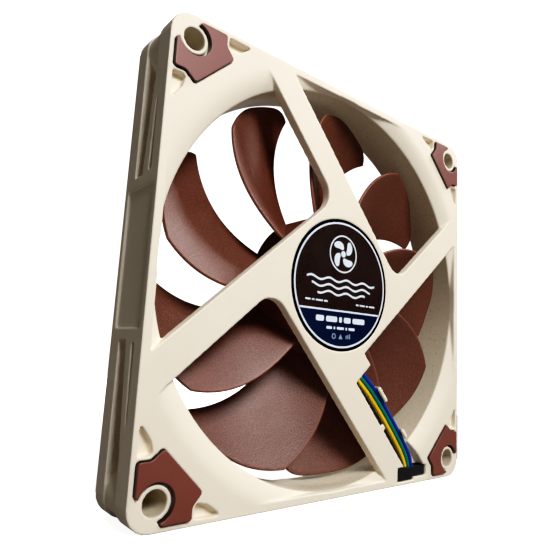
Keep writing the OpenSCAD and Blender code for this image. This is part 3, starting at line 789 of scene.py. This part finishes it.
def make_label():
    """Fields and print of the label, each a thin layer on the CAD's disc."""
    cut = math.degrees(math.asin((DIVIDER_Y - DIVIDER_HALF) / RING_R))
    label_piece("label_field", "label_field", [extrude(arc(FIELD_R)[:-1], LABEL_Z - 0.01, FIELD_Z)])
    label_piece("label_lower_field", "label_navy",
                [extrude(arc(RING_R, 180 - cut, 360 + cut, 72), LABEL_Z, NAVY_Z)])
    chord = math.sqrt(RING_R**2 - DIVIDER_Y**2)
    divider = [(-chord, DIVIDER_Y - DIVIDER_HALF), (chord, DIVIDER_Y - DIVIDER_HALF),
               (chord, DIVIDER_Y + DIVIDER_HALF), (-chord, DIVIDER_Y + DIVIDER_HALF)]
    label_piece("label_ring", "label_silver",
                [inked_ring(RING_R + RING_HALF, RING_R - RING_HALF), inked(divider)])

    signs = [inked_ring(*SIGN_RING, SIGN_CENTRE, 72),
             inked(arc(SIGN_HUB_R, centre=SIGN_CENTRE, steps=24)[:-1])]
    signs += [petal(SIGN_CENTRE, 15 + 90 * k, *SIGN_PETAL, LABEL_Z, PRINT_Z) for k in range(4)]
    signs += [wave(y, length) for y, length in WAVES]
    signs += bar_row(*LEFT_ROW) + bar_row(*RIGHT_ROW)
    label_piece("label_signs", "label_silver", signs)
    label_piece("label_rows", "label_silver", bar_row(*LARGE_ROW) + bar_row(*SMALL_ROW))

    marks = [inked_ring(*MARK_RING, (MARK_RING_X, MARK_Y), 30), inked(MARK_TRIANGLE)]
    for k in range(MARK_BARS):
        left = MARK_BARS_X + MARK_BARS_PITCH * k
        growth = MARK_BAR_GROWTH * k
        marks.append(bar(left, left + MARK_BAR_WIDTH, MARK_Y - 0.05 + growth / 2, MARK_BAR_HEIGHT + growth))
    label_piece("label_marks", "label_grey", marks)


make_label()

# ---------------------------------------------------------------- wires and lead

# The wires run beside the lower right strut, from the circuit board to the strain relief
STRUT = math.radians(311.4)
WIRE_R = 0.46
WIRE_Z = 5.55
BOARD_TOP = 4.1
NOTCH_TOP = -41.9
BEND_Y = -39.4

# Stations along the strut: the board's pads, the rise to the cover, its ends, the first hook,
# the bow between the hooks, and the second hook
PADS_U = 8.2
RISE_U = 10.6
COVER_U = (14, 20)
HOOK_U = (26, 43)
BOW_U = (31, 37)
BOW_V = 0.12
BOW_Z = 0.15

# Where each wire leaves the cover and passes the hooks, across the strut, and where it ends in X
WIRES = {
    "wire_blue": (-6.35, -5.5, 27.6),
    "wire_green": (-7.45, -6.6, 26.4),
    "wire_yellow": (-8.55, -7.8, 25.2),
    "wire_black": (-9.65, -9.2, 24.0),
}

# The connector hangs at the end of the lead
PLUG_X = 49.1
PLUG_TOP = -31.0
PLUG_Z = -1.6
PITCH = 2.54
TAIL_R = 0.3
BUNDLE_PITCH = 0.62

# The heat shrink's ends above the top of the connector
SHRINK_LOW = 3.4
SHRINK_HIGH = 5.25

# The sleeve leaves the strain relief, goes up beside the frame and comes down again
RELIEF_X = 27.5
CABLE_Y = -43.7
CABLE_Z = -1.5
RUN_X = (48.0, 52.2)
MEAN_RUN_X = sum(RUN_X) / 2
RUN_TOP = 30.0
RUN_LOW = -22.0
SLEEVE_R = 1.45
SLEEVE_PATH = [Vector(point) for point in (
    (RELIEF_X, CABLE_Y, 3.45), (RELIEF_X, CABLE_Y, 1.6), (28.1, CABLE_Y, -0.6),
    (30.2, CABLE_Y + 0.4, CABLE_Z), (33.6, -40.9, CABLE_Z), (36.8, -36.8, CABLE_Z),
    (40.9, -33.6, CABLE_Z), (44.4, -29, CABLE_Z), (47.3, -24.2, CABLE_Z),
    (RUN_X[0], RUN_LOW + 4, CABLE_Z), (RUN_X[0], 0, CABLE_Z), (RUN_X[0], RUN_TOP - 6, CABLE_Z),
    (RUN_X[0], RUN_TOP, CABLE_Z), (MEAN_RUN_X, RUN_TOP + 2.1, CABLE_Z),
    (RUN_X[1], RUN_TOP, CABLE_Z), (RUN_X[1], RUN_TOP - 6, CABLE_Z), (RUN_X[1], 0, CABLE_Z),
    (RUN_X[1], RUN_LOW + 4, CABLE_Z), (RUN_X[1] - 0.7, RUN_LOW, CABLE_Z),
    (PLUG_X, PLUG_TOP + 6.6, CABLE_Z), (PLUG_X, PLUG_TOP + 5.1, CABLE_Z),
)]

# The braid: strands each way, the length in which one goes round once, and its relief
STRANDS = 8
LAY = 9.1
STRAND_RISE = 0.1
STRAND_WEAVE = 0.06


def in_strut(u, v, z):
    """A point beside the lower right strut: u along it from the axis, v across it."""
    c = math.cos(STRUT)
    s = math.sin(STRUT)
    return Vector((u * c - v * s, u * s + v * c, z))


def smooth_path(points, steps):
    """Catmull-Rom curve through every point."""
    path = []
    n = len(points)
    for i in range(n - 1):
        a, b, c, d = points[max(i - 1, 0)], points[i], points[i + 1], points[min(i + 2, n - 1)]
        for k in range(steps):
            t = k / steps
            path.append(0.5 * (2 * b + (c - a) * t + (2 * a - 5 * b + 4 * c - d) * t**2
                               + (3 * b - a - 3 * c + d) * t**3))
    path.append(points[-1])
    return path


def path_frames(path):
    """Centre, side and up at every point, carried along without twisting."""
    frames = []
    side = None
    for i, point in enumerate(path):
        ahead = (path[min(i + 1, len(path) - 1)] - path[max(i - 1, 0)]).normalized()
        if side is None:
            side = ahead.cross(Vector((0, 0, 1)) if abs(ahead.z) < 0.8 else Vector((1, 0, 0)))
        side = (side - ahead * side.dot(ahead)).normalized()
        frames.append((point, side, ahead.cross(side)))
    return frames


def tube(path, radius, sides=20):
    """A closed round tube along a path."""
    points = []
    for centre, side, up in path_frames(path):
        for k in range(sides):
            a = 2 * math.pi * k / sides
            points.append(centre + (side * math.cos(a) + up * math.sin(a)) * radius)
    return points, grid_faces(len(path), sides, wrap_cols=True) + end_caps(len(path), sides)


def make_wires():
    """Each wire is seen twice: at the strut, and between the sleeve and the connector."""
    for index, (node, (exit_v, hook_v, end_x)) in enumerate(WIRES.items()):
        run = [in_strut(PADS_U, exit_v + 0.6, BOARD_TOP + WIRE_R + 0.05),
               in_strut(RISE_U, exit_v + 0.3, BOARD_TOP + WIRE_R + 0.06)]
        run += [in_strut(u, exit_v, WIRE_Z) for u in COVER_U]
        run.append(in_strut(HOOK_U[0], hook_v, WIRE_Z))
        run += [in_strut(u, hook_v + BOW_V, WIRE_Z + BOW_Z) for u in BOW_U]
        run.append(in_strut(HOOK_U[1], hook_v, WIRE_Z))
        run += [
            Vector((end_x - 0.8, BEND_Y - 0.35 * index, WIRE_Z)),
            Vector((end_x, NOTCH_TOP - 0.1, WIRE_Z)),
            Vector((end_x, NOTCH_TOP - 1.2, WIRE_Z)),
        ]
        tail_z = PLUG_Z + (index - 1.5) * PITCH
        bundle_z = CABLE_Z + (index - 1.5) * BUNDLE_PITCH
        tail = [Vector((PLUG_X, PLUG_TOP + above, z)) for above, z in (
            (3.5, bundle_z), (2.8, bundle_z), (1.4, (bundle_z + tail_z) / 2), (0.5, tail_z), (-0.3, tail_z))]
        parts = [tube(smooth_path(run, 10), WIRE_R), tube(smooth_path(tail, 9), TAIL_R)]
        wire = new_piece(node + "_insulation", *join(parts), node, "stator", smooth_angle=60)
        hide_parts(node)


def make_sleeve():
    """The braid: strands wound both ways, each passing over and under the ones it crosses."""
    step, sides = ((0.14, 80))
    rough = np.array([tuple(p) for p in smooth_path(SLEEVE_PATH, 40)])
    walked = np.concatenate(([0], np.cumsum(np.linalg.norm(np.diff(rough, axis=0), axis=1))))
    along = np.linspace(0, walked[-1], int(walked[-1] / step))
    even = np.stack([np.interp(along, walked, rough[:, axis]) for axis in range(3)], axis=1)
    around = np.arange(sides) / sides
    angle = 2 * np.pi * around
    points = []
    for length, (centre, side, up) in zip(along, path_frames([Vector(p) for p in even])):
        a = around * STRANDS + length * STRANDS / LAY
        b = around * STRANDS - length * STRANDS / LAY
        over_a = STRAND_WEAVE * np.cos(np.pi * (b - 0.5 + np.floor(a)))
        over_b = -STRAND_WEAVE * np.cos(np.pi * (a - 0.5 + np.floor(b)))
        rise_a = STRAND_RISE * np.sqrt(1 - (2 * (a % 1) - 1) ** 2) + over_a
        rise_b = STRAND_RISE * np.sqrt(1 - (2 * (b % 1) - 1) ** 2) + over_b
        r = SLEEVE_R - STRAND_RISE - STRAND_WEAVE + np.maximum(rise_a, rise_b)
        points.append(np.array(centre) + np.outer(r * np.cos(angle), side) + np.outer(r * np.sin(angle), up))
    faces = grid_faces(len(along), sides, wrap_cols=True) + end_caps(len(along), sides)
    sleeve = new_piece("sleeve_braid", np.concatenate(points), faces, "braid", "stator", smooth_angle=50)
    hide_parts("cable_sleeve")


def make_heat_shrink():
    """A shrunk tube over the sleeve's cut end, a little slack at both of its own ends."""
    low = SHRINK_LOW
    high = SHRINK_HIGH
    profile = rounded_profile([(0.95, low, 0.05), (1.36, low, 0.12), (1.44, low + 0.5, 0.3),
                               (1.46, high - 0.55, 0.3), (1.56, high, 0.12), (1.3, high, 0.05)])
    points, faces = turned(profile, 72)
    placed = [(PLUG_X + x, PLUG_TOP + above, CABLE_Z + y) for x, y, above in points]
    shrunk = new_piece("heat_shrink_tube", placed, faces, "black_plastic", "stator", smooth_angle=40,
                       slot=slot_of_node["heat_shrink"])
    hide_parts("heat_shrink")


make_wires()

# ---------------------------------------------------------------- coils

# A coil lies along an arm of the core: its start from the axis, size, wire and the arm inside
COIL_START = 5.9
COIL_LENGTH = 4.85
COIL_Z = -0.2
COIL_WIDTH = 7.4
COIL_HEIGHT = 6.1
COIL_CORNER = 1.0
COIL_TURNS = 12
COIL_WIRE_R = 0.19
COIL_MARGIN = 0.05
ARM_WIDTH = 4.66
ARM_HEIGHT = 4.5


def make_coil(node, turn_degrees):
    """Enamelled wire wound side by side round an arm of the core, over its inner layers."""
    c = math.cos(math.radians(turn_degrees))
    s = math.sin(math.radians(turn_degrees))

    def place(x, y, z):
        return (x * c - y * s, x * s + y * c, z + COIL_Z)

    def loop(sink):
        return rounded_box_outline(COIL_WIDTH - sink, COIL_HEIGHT - sink, COIL_CORNER)

    outline = loop(2 * COIL_WIRE_R)
    count = COIL_TURNS * len(outline)
    path = []
    for k in range(count + 1):
        y, z = outline[k % len(outline)]
        x = COIL_START + COIL_WIRE_R + (COIL_LENGTH - 2 * COIL_WIRE_R) * k / count
        path.append(Vector(place(x, y, z)))
    outer = loop(3 * COIL_WIRE_R)
    inner = rounded_box_outline(ARM_WIDTH, ARM_HEIGHT, 0.1)
    low = COIL_START + COIL_MARGIN
    high = COIL_START + COIL_LENGTH - COIL_MARGIN
    rows = [place(x, y, z) for x, ring in ((low, outer), (high, outer), (high, inner), (low, inner))
            for y, z in ring]
    layers = (rows, grid_faces(4, len(outer), wrap_rows=True, wrap_cols=True))
    parts = [tube(path, COIL_WIRE_R, 8), layers]
    coil = new_piece(node + "_winding", *join(parts), "copper", "stator", smooth_angle=50)
    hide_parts(node)


make_sleeve()
make_heat_shrink()
for number in range(4):
    make_coil(f"coil_{number + 1}", 90 * number)

# ---------------------------------------------------------------- sticker on the hub's back

# The sticker's face and the face of its ink, then the radii of its signs
STICKER_FACE = -6.38
STICKER_INK = -6.43
STICKER_RINGS = ((12.6, 12.2), (3.1, 2.75))
STICKER_DOT_R = 1.1
STICKER_PETAL = (4.2, 10.6)


def make_sticker_print():
    """Four broad petals, a rim line and a dot in a ring, raised a little from the sticker."""
    layer = (STICKER_INK, STICKER_FACE)
    parts = [ribbon(arc(outer), arc(inner), *layer) for outer, inner in STICKER_RINGS]
    parts.append(extrude(arc(STICKER_DOT_R, steps=36)[:-1], *layer))
    parts += [petal((0, 0), 20 + 90 * k, *STICKER_PETAL, *layer) for k in range(4)]
    new_piece("rotor_label_ink", *join(parts), "sticker_ink", "rotor", slot=slot_of_node["rotor_label"])


make_sticker_print()

# ---------------------------------------------------------------- moulded parts

# Outer face of the connector, and the places of its ribs and latch windows below its top
PLUG_FACE_X = PLUG_X + 2.7
RIB_HALF = 0.45
RIB_SPAN = (11.6, 1.0)
WINDOW_HALF = 0.5
WINDOW_SPAN = (5.6, 3.1)

# Centre of the cable tie, its teeth on both faces, and its head and tail beside the sleeve
TIE_CENTRE = (MEAN_RUN_X, 6.0, CABLE_Z)
TOOTH_PITCH = 0.6
TOOTH_HALF = 0.09
TEETH = 10
TIE_FACE = 2.03
TIE_HEAD = ((3.65, -0.5, -1.75), (6.0, 3.0, 1.55))
TIE_TAIL = ((5.7, 0.3, -0.5), (7.1, 2.2, 0.4))


def plug_boxes(places, half, span, faces):
    """Boxes on the connector's outer face, one at each place across it."""
    return [((PLUG_FACE_X + faces[0], PLUG_TOP - span[0], z - half),
             (PLUG_FACE_X + faces[1], PLUG_TOP - span[1], z + half)) for z in places]


def make_connector():
    windows = [PLUG_Z + (i - 1.5) * PITCH for i in range(4)]
    ribs = [(windows[i] + windows[i + 1]) / 2 for i in (0, 2)]
    moulded_copy("connector_housing", voxel_mm=0.12, rounds=3, keep=0.2,
                 add=plug_boxes(ribs, RIB_HALF, RIB_SPAN, (-0.2, 0.75)),
                 cut=plug_boxes(windows, WINDOW_HALF, WINDOW_SPAN, (-0.6, 0.3)))


def make_tie():
    boxes = [TIE_HEAD, TIE_TAIL]
    for k in range(TEETH):
        x = TOOTH_PITCH * k - 2.7
        for face in (-TIE_FACE, TIE_FACE):
            boxes.append(((x, 0.5, face - TOOTH_HALF), (x + TOOTH_PITCH / 2, 2.0, face + TOOTH_HALF)))
    placed = [tuple(tuple(np.add(corner, TIE_CENTRE)) for corner in ends) for ends in boxes]
    moulded_copy("cable_tie", voxel_mm=0.08, rounds=3, keep=0.4, add=placed)


moulded_copy("frame", voxel_mm=0.2, rounds=6, keep=0.1)
for name in nodes:
    if name.startswith("pad_"):
        moulded_copy(name, voxel_mm=0.1, rounds=4, keep=0.25, gap_mm=0.14, proud_mm=0.55)
moulded_copy("strain_relief", voxel_mm=0.1, rounds=4, keep=0.3)
make_connector()
make_tie()

# ---------------------------------------------------------------- stage and camera

LIGHT_TINT = (0.97, 1, 1.05)
FLOOR_SIZE = 6000
FLOOR_SEEN = (0.9, 0.9, 0.9)
FLOOR_BOUNCE = (0.22, 0.2, 0.185)
FLOOR_GLOW = (0.98, 1.25)
GLOW_REACH = (90, 320)
FILL_COLOUR = (1, 0.93, 0.82, 1)
FILL_LEVEL = 0.022
FILL_LEAN = (-0.13, -0.01, 0)
BACKDROP_LEVEL = 1.4

# The camera's place, its angles in radians, its lens, and how far the lens is shifted
CAMERA_PLACE = (-81.512, -88.675, -16.137)
YAW = 0.6992
PITCH_UP = 0.1501
ROLL = 0.0491
FOCAL_LENGTH = 33.62
LENS_SHIFT = (-0.0446, 0.0037)
NEAREST_SEEN = 5

# Scene tone against printed tone
TONE_CURVE = ((0.03, 0.01), (0.12, 0.083), (0.35, 0.34), (0.78, 0.765))
WHITE_TONE = 0.93


def make_floor():
    """Pale paper that glows evenly to the camera and sends little light back at the fan."""
    bpy.ops.mesh.primitive_plane_add(size=FLOOR_SIZE * MM, location=(0, 0, cad_low.z))
    floor = bpy.context.object
    floor.name = "floor"
    s = Shader("floor_paper")
    seen = s.add("ShaderNodeLightPath").outputs["Is Camera Ray"]
    s.colour(s.mix(seen, FLOOR_BOUNCE, FLOOR_SEEN))
    s.set(Roughness=0.9)
    reach = s.vector("LENGTH", s.mm)["Value"]
    glow = s.remap(reach, *GLOW_REACH, *FLOOR_GLOW)
    s.link(s.math("MULTIPLY", seen, glow), s.bsdf.inputs["Emission Strength"])
    s.set(Emission_Color=(1, 1, 1, 1))
    floor.data.materials.append(s.material)


def make_light(name, place, size, brightness, colour=(1, 1, 1)):
    """A softbox aimed at the fan; brightness is the tone it gives a white card facing it there."""
    location = Vector(place) * MM
    data = bpy.data.lights.new(name, "AREA")
    data.shape = "RECTANGLE"
    data.size = size[0] * MM
    data.size_y = size[1] * MM
    data.energy = brightness * (math.pi * location.length) ** 2
    data.color = colour
    light = new_object(name, data)
    light.location = location
    light.rotation_euler = (-location).to_track_quat("-Z", "Y").to_euler()


def make_world():
    """White to the camera, and a dimmer warm fill for everything else."""
    world = bpy.data.worlds.new("studio")
    bpy.context.scene.world = world
    world.use_nodes = True
    tree = world.node_tree
    fill = tree.nodes["Background"]
    fill.inputs["Color"].default_value = FILL_COLOUR
    coords = tree.nodes.new("ShaderNodeTexCoord")
    lean = tree.nodes.new("ShaderNodeVectorMath")
    lean.operation = "DOT_PRODUCT"
    lean.inputs[1].default_value = FILL_LEAN
    tree.links.new(coords.outputs["Generated"], lean.inputs[0])
    level = tree.nodes.new("ShaderNodeMath")
    level.inputs[1].default_value = FILL_LEVEL
    tree.links.new(lean.outputs["Value"], level.inputs[0])
    tree.links.new(level.outputs[0], fill.inputs["Strength"])
    backdrop = tree.nodes.new("ShaderNodeBackground")
    backdrop.inputs["Color"].default_value = (1, 1, 1, 1)
    backdrop.inputs["Strength"].default_value = BACKDROP_LEVEL
    path = tree.nodes.new("ShaderNodeLightPath")
    mix = tree.nodes.new("ShaderNodeMixShader")
    tree.links.new(path.outputs["Is Camera Ray"], mix.inputs["Fac"])
    tree.links.new(fill.outputs["Background"], mix.inputs[1])
    tree.links.new(backdrop.outputs["Background"], mix.inputs[2])
    tree.links.new(mix.outputs["Shader"], tree.nodes["World Output"].inputs["Surface"])


def make_camera():
    """A hand-held view from low at the left front, looking slightly up."""
    ahead = Vector((math.sin(YAW) * math.cos(PITCH_UP), math.cos(YAW) * math.cos(PITCH_UP),
                    math.sin(PITCH_UP)))
    level = Vector((math.cos(YAW), -math.sin(YAW), 0))
    rise = level.cross(ahead)
    right = level * math.cos(ROLL) + rise * math.sin(ROLL)
    up = rise * math.cos(ROLL) - level * math.sin(ROLL)
    data = bpy.data.cameras.new("camera")
    data.lens = FOCAL_LENGTH
    data.shift_x, data.shift_y = LENS_SHIFT
    data.clip_start = NEAREST_SEEN * MM
    camera = new_object("camera", data)
    turn = Matrix((right, up, -ahead)).transposed().to_4x4()
    camera.matrix_world = Matrix.Translation(Vector(CAMERA_PLACE) * MM) @ turn
    bpy.context.scene.camera = camera


def set_tone():
    """Plain display tone with slightly deepened shadows, as a product photo is printed."""
    view = bpy.context.scene.view_settings
    view.view_transform = "Standard"
    view.use_curve_mapping = True
    curve = view.curve_mapping.curves[3]
    for scene_tone, printed_tone in TONE_CURVE:
        curve.points.new(scene_tone, printed_tone)
    curve.points[-1].location = (1, WHITE_TONE)
    view.curve_mapping.extend = "EXTRAPOLATED"
    view.curve_mapping.update()


make_floor()
make_light("key", place=(-42, -410, 306), size=(180, 180), brightness=1.07, colour=LIGHT_TINT)
make_light("side", place=(355, -125, 330), size=(130, 160), brightness=0.5, colour=LIGHT_TINT)
make_light("back", place=(160, 420, 60), size=(220, 80), brightness=0.4)
make_world()
make_camera()
set_tone()
